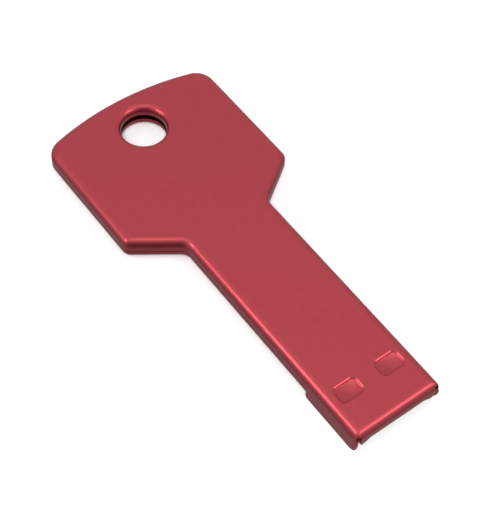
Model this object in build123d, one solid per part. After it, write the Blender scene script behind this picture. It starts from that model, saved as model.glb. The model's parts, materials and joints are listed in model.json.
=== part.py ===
"""Key-shaped USB flash drive: two pressed metal shells around a moulded carrier and a USB memory module.

Millimetres. +X runs from the head to the plug's tip, and +Z is up, away from the contacts.
The origin is the middle of the footprint, level with the lower edges of the plug's rails.
"""

from build123d import *
from math import atan, degrees, radians, sqrt, tan
import os

# Outside.
overall_length = 55.15
plug_width = 12.0
head_width = 24.0
body_thickness = 2.8
rail_drop = 0.5  # how far the plug's rails reach below the back shell
plug_length = 8.7  # the open stretch between the rails, where the contacts are
neck_from_tip = 31.6  # from the tip to where the head's shoulders meet the shaft
neck_angle = 55.5  # between a shoulder and the length of the key
crown_radius = 37.8  # the long arc across the head's far end
crown_corner = 2.7
shoulder_corner = 1.2
neck_corner = 1.5
tip_corner = 0.35
top_edge_radius = 1.0
bottom_edge_radius = 0.8
front_depth = 1.6  # drawn depth of the front shell, from the top face down to the seam
seam_gap = 0.08

# Sheet metal.
front_sheet = 0.3
back_sheet = 0.3
flap_depth = 1.75  # folded front flap, from the top face down
ear_drop = 0.45  # how far the flap's two ears reach below its middle
ear_width = 0.6
ear_slope = 0.8
ear_corner = 0.3
corner_slot = 0.4  # open slot between the flap and each rail
slot_top = 0.45  # from the top face down to the slot's upper end
slot_trim = 0.03  # how far the slot also trims the rail's inner face
rail_rear_corner = 0.45
rail_front_corner = 1.1
dimple_length = 2.1
dimple_width = 3.1
dimple_pitch = 5.9
dimple_from_tip = 5.3
dimple_depth = 0.42
dimple_corner = 0.55
dimple_draft = 12
dimple_lip_width = 0.16  # soft edge around a dimple's mouth
dimple_lip_depth = 0.1
dimple_bowl_radius = 5.0  # how strongly a dimple's floor is dished
dimple_floor_radius = 0.15
dimple_skin = 0.18  # how much larger the pushed-in side of a dimple is, all round

# Keyring hole.
hole_radius = 2.88
hole_from_end = 5.75
front_rim_depth = 1.25  # from the shell's face to the rim's free edge
front_rim_bend = 0.85
back_rim_depth = 0.8
back_rim_bend = 0.35

# Memory module and what holds it.
contact_depth = 2.25  # from the top face to the face of the contacts
module_length = 24.8
module_thickness = 1.4
module_side_gap = 0.1
module_end_gap = 0.15
module_corner = 0.5
substrate_thickness = 0.26
tape_thickness = 0.05
carrier_gap = 0.15
carrier_edge = 0.45
carrier_floor = 0.6
carrier_wall = 0.9
rib_thickness = 0.7
rib_pitch = 4.4
boss_gap = 0.1
boss_wall = 1.2
window_margin = 0.3
tape_margin = 0.3

# Contacts of the plug, and the module's test pads.
power_contact = (7.4, 1.7)
data_contact = (6.4, 1.5)
power_pitch = 7.0
data_pitch = 2.0
contact_from_edge = 0.5
data_setback = 1.0
pad_thickness = 0.06
pad_proud = 0.02
test_pad_radius = 0.4
test_pad_pitch = 1.6
test_pad_rows = 4
test_pads_per_row = 6

# Inside the mould.
film_thickness = 0.03
die_thickness = 0.15
nand_length = 11.6
nand_width = 8.6
nand_from_rear = 1.0
nand_step = 0.7  # how far the upper die sits back, clear of the lower one's bond pads
controller_size = 2.8
controller_from_tip = 5.6
chip_length = 1.0
chip_width = 0.5
capacitor_height = 0.5
resistor_height = 0.35
terminal_length = 0.25
chip_pitch = 1.3
wire_thickness = 0.05
wire_loop = 0.15
wire_foot = 0.3  # from a die's edge back to the wire's first bond
wire_reach = 0.6  # from the lower die's edge out to the wire's second bond
nand_wires = 14
controller_wires = 6

# Levels, from the table up.
back_z = rail_drop
top_z = back_z + body_thickness
seam_z = top_z - front_depth
front_inner_z = top_z - front_sheet
back_inner_z = back_z + back_sheet
contact_z = top_z - contact_depth
substrate_top_z = contact_z + substrate_thickness
module_top_z = contact_z + module_thickness
carrier_plate_z = module_top_z + tape_thickness
carrier_top_z = front_inner_z - tape_thickness
carrier_bottom_z = back_inner_z + tape_thickness
pad_z = contact_z - pad_proud

# Places along the key, and half widths.
tip_x = overall_length / 2
end_x = -overall_length / 2
neck_x = tip_x - neck_from_tip
shoulder_x = neck_x - (head_width - plug_width) / 2 / tan(radians(neck_angle))
step_x = tip_x - plug_length
hole_x = end_x + hole_from_end
dimple_x = tip_x - dimple_from_tip
half_plug = plug_width / 2
half_flap = half_plug - front_sheet - corner_slot
half_module = half_plug - front_sheet - module_side_gap
half_plate = half_plug - top_edge_radius
plate_tip_x = tip_x - top_edge_radius
module_tip_x = tip_x - front_sheet - module_end_gap
module_rear_x = module_tip_x - module_length
carrier_stop_x = module_rear_x - module_end_gap
nand_rear_x = module_rear_x + nand_from_rear
nand_edge_x = nand_rear_x + nand_length
controller_x = module_tip_x - controller_from_tip
boss_radius = hole_radius + front_rim_bend + boss_gap


def block(x0, x1, y0, y1, z0, z1):
    """A plain box between two corners."""
    return Pos((x0 + x1) / 2, (y0 + y1) / 2, (z0 + z1) / 2) * Box(x1 - x0, y1 - y0, z1 - z0)


def rounded_face(corners):
    """A flat face with straight sides. Each corner is (x, y, radius)."""
    face = make_face(Polyline(*[(x, y) for x, y, _ in corners], close=True))
    for x, y, radius in corners:
        if radius > 0:
            corner = face.vertices().sort_by_distance((x, y, 0))[0]
            face = fillet(corner, radius)
    return face


def key_face(inset=0.0, x_max=None):
    """The key's outline as a face, drawn in by inset and cut off past x_max."""
    half_head = head_width / 2
    crown_start = end_x + crown_radius - sqrt(crown_radius**2 - half_head**2)
    crown = ThreePointArc((crown_start, half_head), (end_x, 0), (crown_start, -half_head))
    lower = [(crown_start, -half_head), (shoulder_x, -half_head), (neck_x, -half_plug), (tip_x, -half_plug)]
    upper = [(x, -y) for x, y in reversed(lower)]
    face = make_face([crown.edge(), *Polyline(*lower, *upper).edges()])
    radii = (crown_corner, shoulder_corner, neck_corner, tip_corner)
    for (x, y), radius in zip(lower, radii):
        pair = [face.vertices().sort_by_distance((x, side * y, 0))[0] for side in (-1, 1)]
        face = fillet(pair, radius)
    if inset:
        face = offset(face, -inset, kind=Kind.ARC)
    if x_max is not None:
        face = face & Pos(x_max - overall_length, 0) * Rectangle(2 * overall_length, 2 * overall_length)
    return face


def key_solid(z0, z1, inset=0.0, x_max=None):
    """The key's outline as a solid between two levels."""
    return Pos(0, 0, z0) * extrude(key_face(inset, x_max), z1 - z0)


def hole_rim(level, inward, depth, bend, sheet):
    """A shell's turned-in rim around the keyring hole, from the shell's outer face at a level."""
    lip = hole_radius + bend
    outer = hole_radius + sheet
    inner_bend = bend - sheet
    turn = sqrt(0.5)
    bend_z = level + inward * bend
    free_z = level + inward * depth
    inner_z = level + inward * sheet
    outside = ThreePointArc(
        (hole_radius, bend_z), (lip - turn * bend, bend_z - inward * turn * bend), (lip, level)
    )
    inside = ThreePointArc(
        (lip, inner_z), (lip - turn * inner_bend, bend_z - inward * turn * inner_bend), (outer, bend_z)
    )
    outline = [
        outside,
        Polyline((lip, level), (lip + sheet, level), (lip + sheet, inner_z), (lip, inner_z)),
        inside,
        Polyline((outer, bend_z), (outer, free_z), (hole_radius, free_z), (hole_radius, bend_z)),
    ]
    profile = make_face([edge for line in outline for edge in line.edges()])
    return Pos(hole_x, 0, 0) * revolve(Plane.XZ * profile, Axis.Z)


def plug_rails():
    """The stretches of side wall beside the contacts, which reach below the seam."""
    side = rounded_face(
        [
            (step_x, seam_z, 0),
            (step_x, 0, rail_rear_corner),
            (tip_x, 0, rail_front_corner),
            (tip_x, seam_z, 0),
        ]
    )
    rail = Pos(0, half_plug, 0) * extrude(Plane.XZ * side, front_sheet)
    return [rail, mirror(rail, Plane.XZ)]


def front_flap():
    """The lower part of the folded front flap, with a rounded ear at each end of its lower edge."""
    middle_z = top_z - flap_depth
    ear_z = middle_z - ear_drop
    ear = [
        (half_flap, seam_z, 0),
        (half_flap, ear_z, ear_corner),
        (half_flap - ear_width, ear_z, ear_corner),
        (half_flap - ear_width - ear_slope, middle_z, ear_corner),
    ]
    face = rounded_face(ear + [(-y, z, radius) for y, z, radius in reversed(ear)])
    return Pos(tip_x, 0, 0) * extrude(Plane.YZ * face, -front_sheet)


def dimple_form(level, depth, skin):
    """A dimple's block below a level, with a dished floor, larger all round by the skin."""
    mouth = RectangleRounded(dimple_length + 2 * skin, dimple_width + 2 * skin, dimple_corner + skin)
    block_form = Pos(0, 0, level) * extrude(mouth, -depth, taper=dimple_draft)
    bowl = Pos(0, 0, level - depth + dimple_bowl_radius) * Sphere(dimple_bowl_radius)
    form = block_form & bowl
    return fillet(form.faces().sort_by(Axis.Z)[0].edges(), dimple_floor_radius)


def dimple_hollow():
    """What the press takes from the top face for one dimple: its block, below a soft edge."""
    mouth = RectangleRounded(
        dimple_length + 2 * dimple_lip_width,
        dimple_width + 2 * dimple_lip_width,
        dimple_corner + dimple_lip_width,
    )
    lip_angle = degrees(atan(dimple_lip_width / dimple_lip_depth))
    lip = Pos(0, 0, top_z) * extrude(mouth, -dimple_lip_depth, taper=lip_angle)
    return lip + dimple_form(top_z - dimple_lip_depth, dimple_depth - dimple_lip_depth, 0)


def front_shell():
    """Pressed front shell: top face, drawn walls, plug rails, folded front flap, dimples and rim."""
    outer = key_solid(seam_z, top_z)
    outer = fillet(outer.faces().sort_by(Axis.Z)[-1].edges(), top_edge_radius)
    inner = key_solid(seam_z - 1, front_inner_z, inset=front_sheet)
    inner = fillet(inner.faces().sort_by(Axis.Z)[-1].edges(), top_edge_radius - front_sheet)
    shell = outer - inner
    shell = shell + plug_rails() + front_flap()
    for side in (-1, 1):
        slot_y = sorted((side * half_flap, side * (half_flap + corner_slot + slot_trim)))
        shell = shell - block(tip_x - 2 * front_sheet, tip_x + 1, *slot_y, -1, top_z - slot_top)
    reach = hole_radius + front_rim_bend + front_sheet
    shell = shell - Pos(hole_x, 0, top_z) * Cylinder(reach, 4 * front_sheet)
    shell = shell + hole_rim(top_z, -1, front_rim_depth, front_rim_bend, front_sheet)
    for side in (-1, 1):
        place = Pos(dimple_x, side * dimple_pitch / 2, 0)
        shell = shell + place * dimple_form(front_inner_z, dimple_depth, dimple_skin)
        shell = shell - place * dimple_hollow()
    return shell


def back_shell():
    """Pressed back shell: a shallow tray from the head to the step behind the plug, with a low rim."""
    wall_top = seam_z - seam_gap
    outer = key_solid(back_z, wall_top)
    outer = fillet(outer.faces().sort_by(Axis.Z)[0].edges(), bottom_edge_radius)
    inner = key_solid(back_inner_z, wall_top + 1, inset=back_sheet)
    inner = fillet(inner.faces().sort_by(Axis.Z)[0].edges(), bottom_edge_radius - back_sheet)
    shell = outer - inner
    shell = shell - block(step_x - seam_gap, tip_x + 1, -half_plug - 1, half_plug + 1, 0, top_z)
    reach = hole_radius + back_rim_bend + back_sheet
    shell = shell - Pos(hole_x, 0, back_z) * Cylinder(reach, 4 * back_sheet)
    return shell + hole_rim(back_z, 1, back_rim_depth, back_rim_bend, back_sheet)


def windows(z0, z1):
    """Openings that keep the carrier and the tapes clear of the dimples."""
    half_x = dimple_length / 2 + dimple_skin + window_margin
    half_y = dimple_width / 2 + dimple_skin + window_margin
    pair = []
    for side in (-1, 1):
        y = side * dimple_pitch / 2
        # A window that comes near the plate's edge is left open there.
        far = half_plug if half_plate - abs(y) - half_y < carrier_floor else abs(y) + half_y
        near = abs(y) - half_y
        pair.append(block(dimple_x - half_x, dimple_x + half_x, *sorted((side * near, side * far)), z0, z1))
    return pair


def carrier():
    """Moulded carrier: a ribbed block that fills the head, and a thin plate above the module."""
    inset = max(front_sheet, back_sheet) + carrier_gap
    body = key_solid(carrier_bottom_z, carrier_top_z, inset, carrier_stop_x)
    rims = body.faces().sort_by(Axis.Z)
    body = chamfer(rims[-1].edges() + rims[0].edges(), carrier_edge)
    pocket_top = carrier_top_z - carrier_floor
    pockets = key_face(inset + carrier_wall, carrier_stop_x - carrier_wall)
    pockets = pockets - Pos(hole_x, 0) * Circle(boss_radius + boss_wall)
    pockets = pockets - Rectangle(2 * overall_length, rib_thickness)
    first_rib = hole_x + boss_radius + boss_wall + rib_pitch / 2
    ribs = int((carrier_stop_x - first_rib) / rib_pitch) + 1
    for number in range(ribs):
        pockets = pockets - Pos(first_rib + number * rib_pitch, 0) * Rectangle(rib_thickness, head_width)
    for face in pockets.faces():
        body = body - Pos(0, 0, back_z) * extrude(face, pocket_top - back_z)
    body = body - Pos(hole_x, 0, top_z / 2) * Cylinder(boss_radius, 2 * top_z)
    plate_rear_x = carrier_stop_x - carrier_wall
    plate = block(plate_rear_x, plate_tip_x, -half_plate, half_plate, carrier_plate_z, carrier_top_z)
    body = body + plate
    for window in windows(carrier_plate_z - 1, top_z):
        body = body - window
    return body


def tapes():
    """The adhesive tapes and the insulating pad, by name."""
    clear_hole = Pos(hole_x, 0, top_z / 2) * Cylinder(boss_radius + tape_margin, 2 * top_z)
    front = key_solid(carrier_top_z, front_inner_z, top_edge_radius + tape_margin) - clear_hole
    back = key_solid(
        back_inner_z, carrier_bottom_z, bottom_edge_radius + tape_margin, carrier_stop_x - tape_margin
    )
    module = block(
        module_rear_x + tape_margin,
        plate_tip_x - tape_margin,
        tape_margin - half_plate,
        half_plate - tape_margin,
        module_top_z,
        carrier_plate_z,
    )
    for window in windows(module_top_z - 1, top_z):
        front = front - window
        module = module - window
    inner_width = half_plug - back_sheet - bottom_edge_radius
    pad = block(
        module_rear_x + tape_margin, step_x - 2 * tape_margin, -inner_width, inner_width, back_inner_z, pad_z
    )
    return {
        "front_tape": front,
        "back_tape": back - clear_hole,
        "module_tape": module,
        "insulating_pad": pad,
    }


def contacts():
    """The plug's four contacts, by name. The power contacts reach nearer to the tip than the data contacts."""
    layout = {
        "contact_vbus": (power_contact, -power_pitch / 2, 0),
        "contact_data_minus": (data_contact, -data_pitch / 2, data_setback),
        "contact_data_plus": (data_contact, data_pitch / 2, data_setback),
        "contact_ground": (power_contact, power_pitch / 2, 0),
    }
    made = {}
    for name, ((length, width), y, setback) in layout.items():
        front_x = module_tip_x - contact_from_edge - setback
        pad = RectangleRounded(length, width, width / 4)
        made[name] = Pos(front_x - length / 2, y, pad_z) * extrude(pad, pad_thickness)
    return made


def test_pads():
    """The round pads behind the contacts, where the maker tests the module."""
    first_x = module_rear_x + 2 * test_pad_pitch
    first_y = -(test_pads_per_row - 1) / 2 * test_pad_pitch
    return [
        Pos(first_x + row * test_pad_pitch, first_y + column * test_pad_pitch, pad_z)
        * extrude(Circle(test_pad_radius), pad_thickness)
        for row in range(test_pad_rows)
        for column in range(test_pads_per_row)
    ]


def module_outline():
    """The module's outline: square at the rear, with its tip corners rounded."""
    return rounded_face(
        [
            (module_rear_x, -half_module, 0),
            (module_tip_x, -half_module, module_corner),
            (module_tip_x, half_module, module_corner),
            (module_rear_x, half_module, 0),
        ]
    )


def dies():
    """The bare chips and the films that they are stuck down with, by name."""
    lower_z = substrate_top_z + film_thickness
    upper_z = lower_z + die_thickness + film_thickness
    upper_rear, upper_edge = nand_rear_x - nand_step, nand_edge_x - nand_step
    half = nand_width / 2
    reach = controller_size / 2
    rear, front = controller_x - reach, controller_x + reach
    made = {
        "nand_die_lower": (nand_rear_x, nand_edge_x, -half, half, lower_z),
        "nand_die_upper": (upper_rear, upper_edge, -half, half, upper_z),
        "controller_die": (rear, front, -reach, reach, lower_z),
    }
    films = {
        "nand_film_lower": made["nand_die_lower"],
        "nand_film_upper": (nand_rear_x, upper_edge, -half, half, upper_z),
        "controller_film": made["controller_die"],
    }
    solids = {name: block(*place, place[-1] + die_thickness) for name, place in made.items()}
    for name, place in films.items():
        solids[name] = block(*place[:4], place[-1] - film_thickness, place[-1])
    return solids


def bond_wire(start_x, start_z, land_x, y):
    """A wire that rises from a die, runs across and slopes down to the substrate."""
    out = 1 if land_x > start_x else -1
    thick = wire_thickness
    loop_z = start_z + wire_loop
    bend_x = start_x + 0.5 * (land_x - start_x)
    profile = Polyline(
        (start_x, start_z),
        (start_x, loop_z),
        (bend_x, loop_z),
        (land_x, substrate_top_z),
        (land_x - out * 1.3 * thick, substrate_top_z),
        (bend_x - out * 0.5 * thick, loop_z - thick),
        (start_x + out * thick, loop_z - thick),
        (start_x + out * thick, start_z),
        close=True,
    )
    return Pos(0, y, 0) * extrude(Plane.XZ * make_face(profile), thick / 2, both=True)


def wires():
    """The bond wires, as a group for the two memory dies and a group for the controller."""
    lower_top = substrate_top_z + film_thickness + die_thickness
    upper_top = lower_top + film_thickness + die_thickness
    pitch = nand_width / (nand_wires + 1)
    memory = []
    for number in range(nand_wires):
        y = (number - (nand_wires - 1) / 2) * pitch
        memory.append(bond_wire(nand_edge_x - wire_foot, lower_top, nand_edge_x + wire_reach, y))
        memory.append(
            bond_wire(
                nand_edge_x - nand_step - wire_foot, upper_top, nand_edge_x + 2 * wire_reach, y + pitch / 2
            )
        )
    half = controller_size / 2
    pitch = controller_size / (controller_wires + 1)
    control = []
    for side in (-1, 1):
        for number in range(controller_wires):
            y = (number - (controller_wires - 1) / 2) * pitch
            edge_x = controller_x + side * half
            start_x = edge_x - side * wire_foot
            control.append(bond_wire(start_x, lower_top, edge_x + side * wire_reach, y))
    return {"memory_wires": memory, "controller_wires": control}


def passives():
    """Surface-mounted capacitors and resistors beside the controller, with their soldered ends."""
    groups = {"capacitors": [], "resistors": [], "chip_terminals": []}
    body = chip_length - 2 * terminal_length
    rows = (("capacitors", capacitor_height, 1), ("resistors", resistor_height, -1))
    for name, height, side in rows:
        for number in range(4):
            x = controller_x + (number - 1.5) * (chip_length + chip_pitch) / 1.5
            y = side * (half_module - 2 * chip_width)
            groups[name].append(
                block(x - body / 2, x + body / 2, y - chip_width / 2, y + chip_width / 2,
                      substrate_top_z, substrate_top_z + height)
            )
            for end in (-1, 1):
                x0, x1 = sorted((x + end * body / 2, x + end * chip_length / 2))
                groups["chip_terminals"].append(
                    block(x0, x1, y - chip_width / 2, y + chip_width / 2,
                          substrate_top_z, substrate_top_z + height)
                )
    return groups


def module():
    """The memory module: substrate, contacts, pads, dies, wires and passives, in their mould."""
    flat = {**contacts(), "test_pads": test_pads()}
    buried = {**dies(), **wires(), **passives()}
    substrate = Pos(0, 0, contact_z) * extrude(module_outline(), substrate_thickness)
    for shape in flat.values():
        substrate = substrate - shape
    mould = Pos(0, 0, substrate_top_z) * extrude(module_outline(), module_top_z - substrate_top_z)
    mould = chamfer(mould.faces().sort_by(Axis.Z)[-1].edges(), tape_thickness * 2)
    for shape in buried.values():
        mould = mould - shape
    return {"module_substrate": substrate, "module_mould": mould, **flat, **buried}


def main():
    os.makedirs("parts", exist_ok=True)
    pieces = {
        "front_shell": front_shell(),
        "back_shell": back_shell(),
        "carrier": carrier(),
        **tapes(),
        **module(),
    }
    for name, shape in pieces.items():
        solid = Compound(children=shape) if isinstance(shape, list) else shape
        export_step(solid, f"parts/{name}.step")


main()
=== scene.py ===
"""Looks for the key-shaped USB flash drive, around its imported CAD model. Metres, in the CAD's frame."""

import json
import math

import bpy
from mathutils import Matrix, Vector

MM = 0.001

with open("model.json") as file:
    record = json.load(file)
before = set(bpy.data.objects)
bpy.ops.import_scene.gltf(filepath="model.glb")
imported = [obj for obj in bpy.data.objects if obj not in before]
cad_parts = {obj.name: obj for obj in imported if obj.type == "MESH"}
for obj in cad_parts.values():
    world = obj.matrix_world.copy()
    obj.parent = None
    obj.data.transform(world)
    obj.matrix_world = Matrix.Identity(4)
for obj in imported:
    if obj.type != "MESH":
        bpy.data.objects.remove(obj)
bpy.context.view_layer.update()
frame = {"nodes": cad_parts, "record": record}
nodes = frame["nodes"]


# ---------------------------------------------------------------- materials


def map_range(tree, source, low, high, out_low, out_high):
    """A factor carried from one range of values to another."""
    node = tree.nodes.new("ShaderNodeMapRange")
    limits = {"From Min": low, "From Max": high, "To Min": out_low, "To Max": out_high}
    for key, value in limits.items():
        node.inputs[key].default_value = value
    tree.links.new(source, node.inputs["Value"])
    return node.outputs["Result"]


class Nodes:
    """A short way to write a procedural material."""

    def __init__(self, name):
        self.material = bpy.data.materials.new(name)
        self.material.use_nodes = True
        self.tree = self.material.node_tree
        self.shader = next(n for n in self.tree.nodes if n.type == "BSDF_PRINCIPLED")
        coordinates = self.add("ShaderNodeTexCoord")
        self.place = coordinates.outputs["Object"]

    def add(self, kind, **settings):
        node = self.tree.nodes.new(kind)
        for key, value in settings.items():
            setattr(node, key, value)
        return node

    def link(self, source, target):
        self.tree.links.new(source, target)

    def set(self, **values):
        for key, value in values.items():
            self.shader.inputs[key.replace("_", " ")].default_value = value

    def noise(self, scale, detail=3.0, roughness=0.5, stretch=None):
        """A noise texture's factor, with scale in features per millimetre."""
        texture = self.add("ShaderNodeTexNoise")
        texture.inputs["Scale"].default_value = scale / MM
        texture.inputs["Detail"].default_value = detail
        texture.inputs["Roughness"].default_value = roughness
        source = self.place
        if stretch:
            mapping = self.add("ShaderNodeMapping")
            mapping.inputs["Scale"].default_value = stretch
            self.link(self.place, mapping.inputs["Vector"])
            source = mapping.outputs["Vector"]
        self.link(source, texture.inputs["Vector"])
        return texture.outputs["Fac"]

    def ramp(self, source, stops):
        """A colour ramp. Each stop is (position, colour)."""
        ramp = self.add("ShaderNodeValToRGB")
        elements = ramp.color_ramp.elements
        while len(elements) < len(stops):
            elements.new(0.5)
        for element, (position, colour) in zip(elements, stops):
            element.position = position
            element.color = (*colour, 1.0)
        self.link(source, ramp.inputs["Fac"])
        return ramp.outputs["Color"]

    def range(self, source, low, high, out_low, out_high):
        return map_range(self.tree, source, low, high, out_low, out_high)

    def bump(self, source, depth, strength=1.0):
        """Bump of a depth in millimetres."""
        node = self.add("ShaderNodeBump")
        node.inputs["Distance"].default_value = depth * MM
        node.inputs["Strength"].default_value = strength
        self.link(source, node.inputs["Height"])
        self.link(node.outputs["Normal"], self.shader.inputs["Normal"])


def shell_material():
    """Satin red metallic coating with a fine grain and faint clouding."""
    m = Nodes("shell_red")
    m.set(Metallic=1.0, Coat_Weight=0.8, Coat_Roughness=0.3)
    cloud = m.noise(1.2, detail=4.0)
    grain = m.noise(9.0, detail=2.0)
    colour = m.ramp(cloud, [(0.3, (0.66, 0.064, 0.090)), (0.7, (0.69, 0.069, 0.096))])
    m.link(colour, m.shader.inputs["Base Color"])
    m.link(m.range(grain, 0.3, 0.7, 0.29, 0.35), m.shader.inputs["Roughness"])
    m.bump(grain, 0.003)
    return m.material


def plain_material(name, low, high, roughness, metallic=0.0, grain=4.0, depth=0.004, stretch=None, **more):
    """A material whose colour and roughness vary gently with a fine grain."""
    m = Nodes(name)
    m.set(Metallic=metallic, **more)
    texture = m.noise(grain, detail=3.0, stretch=stretch)
    m.link(m.ramp(texture, [(0.3, low), (0.7, high)]), m.shader.inputs["Base Color"])
    m.link(m.range(texture, 0.3, 0.7, roughness - 0.05, roughness + 0.05), m.shader.inputs["Roughness"])
    m.bump(texture, depth)
    return m.material


SLOT_MATERIALS = {
    "shell_red": shell_material(),
    "carrier_plastic": plain_material(
        "carrier_plastic", (0.022, 0.022, 0.024), (0.034, 0.034, 0.036), 0.5, grain=6.0
    ),
    "tape": plain_material("tape", (0.74, 0.72, 0.63), (0.82, 0.8, 0.72), 0.3, grain=1.0, depth=0.01),
    "pad": plain_material("pad", (0.5, 0.3, 0.04), (0.6, 0.38, 0.07), 0.25, grain=1.0, depth=0.002),
    "substrate": plain_material(
        "substrate",
        (0.009, 0.011, 0.015),
        (0.014, 0.017, 0.022),
        0.28,
        grain=3.0,
        depth=0.002,
        Coat_Weight=0.3,
    ),
    "mould_compound": plain_material(
        "mould_compound", (0.016, 0.016, 0.017), (0.026, 0.026, 0.027), 0.6, grain=14.0
    ),
    "gold_contact": plain_material(
        "gold_contact",
        (0.80, 0.56, 0.2),
        (0.87, 0.65, 0.28),
        0.22,
        metallic=1.0,
        grain=2.0,
        depth=0.001,
        stretch=(0.15, 1.0, 1.0),
    ),
    "silicon": plain_material(
        "silicon", (0.1, 0.11, 0.14), (0.15, 0.16, 0.19), 0.12, metallic=0.6, depth=0.0005
    ),
    "die_film": plain_material("die_film", (0.42, 0.34, 0.22), (0.5, 0.42, 0.3), 0.45),
    "bond_wire": plain_material("bond_wire", (0.83, 0.62, 0.26), (0.9, 0.7, 0.33), 0.2, metallic=1.0),
    "capacitor_ceramic": plain_material(
        "capacitor_ceramic", (0.3, 0.19, 0.1), (0.4, 0.27, 0.15), 0.4, grain=8.0
    ),
    "resistor_ceramic": plain_material(
        "resistor_ceramic", (0.02, 0.02, 0.022), (0.04, 0.04, 0.045), 0.3, grain=8.0
    ),
    "terminal_tin": plain_material(
        "terminal_tin", (0.62, 0.62, 0.6), (0.72, 0.72, 0.7), 0.35, metallic=1.0
    ),
}

for part in frame["record"]["subparts"]:
    node = nodes[part["node"]]
    node.data.materials.clear()
    node.data.materials.append(SLOT_MATERIALS[part["material_slot"]])


# ---------------------------------------------------------------- floor and light


FLOOR_SIZE = 4.0


def floor():
    """A plain pale floor."""
    m = Nodes("floor_paper")
    paper = m.ramp(m.noise(0.004), [(0.0, (0.93, 0.93, 0.93)), (1.0, (0.95, 0.95, 0.95))])
    m.link(paper, m.shader.inputs["Base Color"])
    m.set(Roughness=0.9)
    bpy.ops.mesh.primitive_plane_add(size=FLOOR_SIZE, location=(0, 0, 0))
    plane = bpy.context.object
    plane.name = "floor"
    plane.data.materials.append(m.material)
    plane.visible_glossy = False


def area_light(name, centre, target, size, power):
    """A soft rectangular light that faces its target."""
    light = bpy.data.lights.new(name, "AREA")
    light.shape = "RECTANGLE"
    light.size, light.size_y = size
    light.energy = power
    lamp = bpy.data.objects.new(name, light)
    bpy.context.scene.collection.objects.link(lamp)
    lamp.location = centre
    lamp.rotation_euler = (Vector(target) - Vector(centre)).to_track_quat("-Z", "Y").to_euler()
    return lamp


# What the shell reflects, by the height of a direction: (sine of its elevation, brightness).
TENT = [(-0.3, 0.27), (0.0, 0.42), (0.35, 0.52), (0.78, 0.55), (0.84, 0.6), (0.9, 0.76)]
DARK_SIDE = (0.79, -0.58, 0.15)  # the dim side of the room, behind the camera
DARK_SHARE = 0.3  # how bright that side is, as a share of the rest
DARK_START, DARK_FULL = 0.62, 0.95  # cosines of the angles where the dimming begins and ends


def tent_world():
    """Soft light all round, dimmer towards the floor and on the camera's side."""
    world = bpy.data.worlds.new("tent")
    bpy.context.scene.world = world
    world.use_nodes = True
    tree = world.node_tree
    place = tree.nodes.new("ShaderNodeTexCoord").outputs["Generated"]
    split = tree.nodes.new("ShaderNodeSeparateXYZ")
    tree.links.new(place, split.inputs["Vector"])
    height = map_range(tree, split.outputs["Z"], -1.0, 1.0, 0.0, 1.0)
    ramp = tree.nodes.new("ShaderNodeValToRGB")
    tree.links.new(height, ramp.inputs["Fac"])
    elements = ramp.color_ramp.elements
    while len(elements) < len(TENT):
        elements.new(0.5)
    for element, (sine, value) in zip(elements, TENT):
        element.position = (sine + 1) / 2
        element.color = (value, value, value, 1.0)
    dot = tree.nodes.new("ShaderNodeVectorMath")
    dot.operation = "DOT_PRODUCT"
    dot.inputs[1].default_value = DARK_SIDE
    tree.links.new(place, dot.inputs[0])
    dimming = map_range(tree, dot.outputs["Value"], DARK_START, DARK_FULL, 1.0, DARK_SHARE)
    background = tree.nodes["Background"]
    tree.links.new(ramp.outputs["Color"], background.inputs["Color"])
    tree.links.new(dimming, background.inputs["Strength"])


def studio():
    """A white tent with three softboxes, and a lamp beside the camera that lights the floor."""
    tent_world()
    area_light("left_softbox", (-0.087, -0.211, 0.196), (0.012, -0.006, 0.003), (0.066, 0.14), 0.105)
    area_light("right_softbox", (0.3, 0.185, 0.357), (0, 0, 0), (0.2, 0.2), 0.24)
    area_light("top_softbox", (0.02, -0.02, 0.5), (0, 0, 0), (0.12, 0.12), 0.05)
    lamp = area_light("floor_lamp", (0.396, -0.333, 0.738), (0, 0, 0), (0.25, 0.25), 6.3)
    lamp.visible_glossy = False
    bpy.context.scene.view_settings.view_transform = "Standard"


# ---------------------------------------------------------------- camera

AZIMUTH = 50.146
ELEVATION = 54.847
ROLL = 3.859
SHIFT_RIGHT = 0.303 * MM
SHIFT_UP = -0.047 * MM
DISTANCE = 162.414 * MM
LENS = 96.025
SENSOR = 36.0
GAUGE = Vector((-0.075, 0.0, 0.5)) * MM  # where the camera's own origin lies in the CAD's frame


def camera():
    """The camera, turned about the drive and rolled, with a small shift of its aim."""
    a, e, roll = (math.radians(v) for v in (AZIMUTH, ELEVATION, ROLL))
    back = Vector((math.sin(a) * math.cos(e), -math.cos(a) * math.cos(e), math.sin(e)))
    right0 = Vector((math.cos(a), math.sin(a), 0))
    up0 = back.cross(right0)
    right = right0 * math.cos(roll) + up0 * math.sin(roll)
    up = up0 * math.cos(roll) - right0 * math.sin(roll)
    centre = GAUGE - right * SHIFT_RIGHT - up * SHIFT_UP + back * DISTANCE
    data = bpy.data.cameras.new("camera")
    data.lens = LENS
    data.sensor_width = SENSOR
    data.clip_start = 0.005
    data.clip_end = 10.0
    view = bpy.data.objects.new("camera", data)
    bpy.context.scene.collection.objects.link(view)
    rotation = Matrix((right, up, back)).transposed().to_4x4()
    view.matrix_world = Matrix.Translation(centre) @ rotation
    bpy.context.scene.camera = view


floor()
studio()
camera()
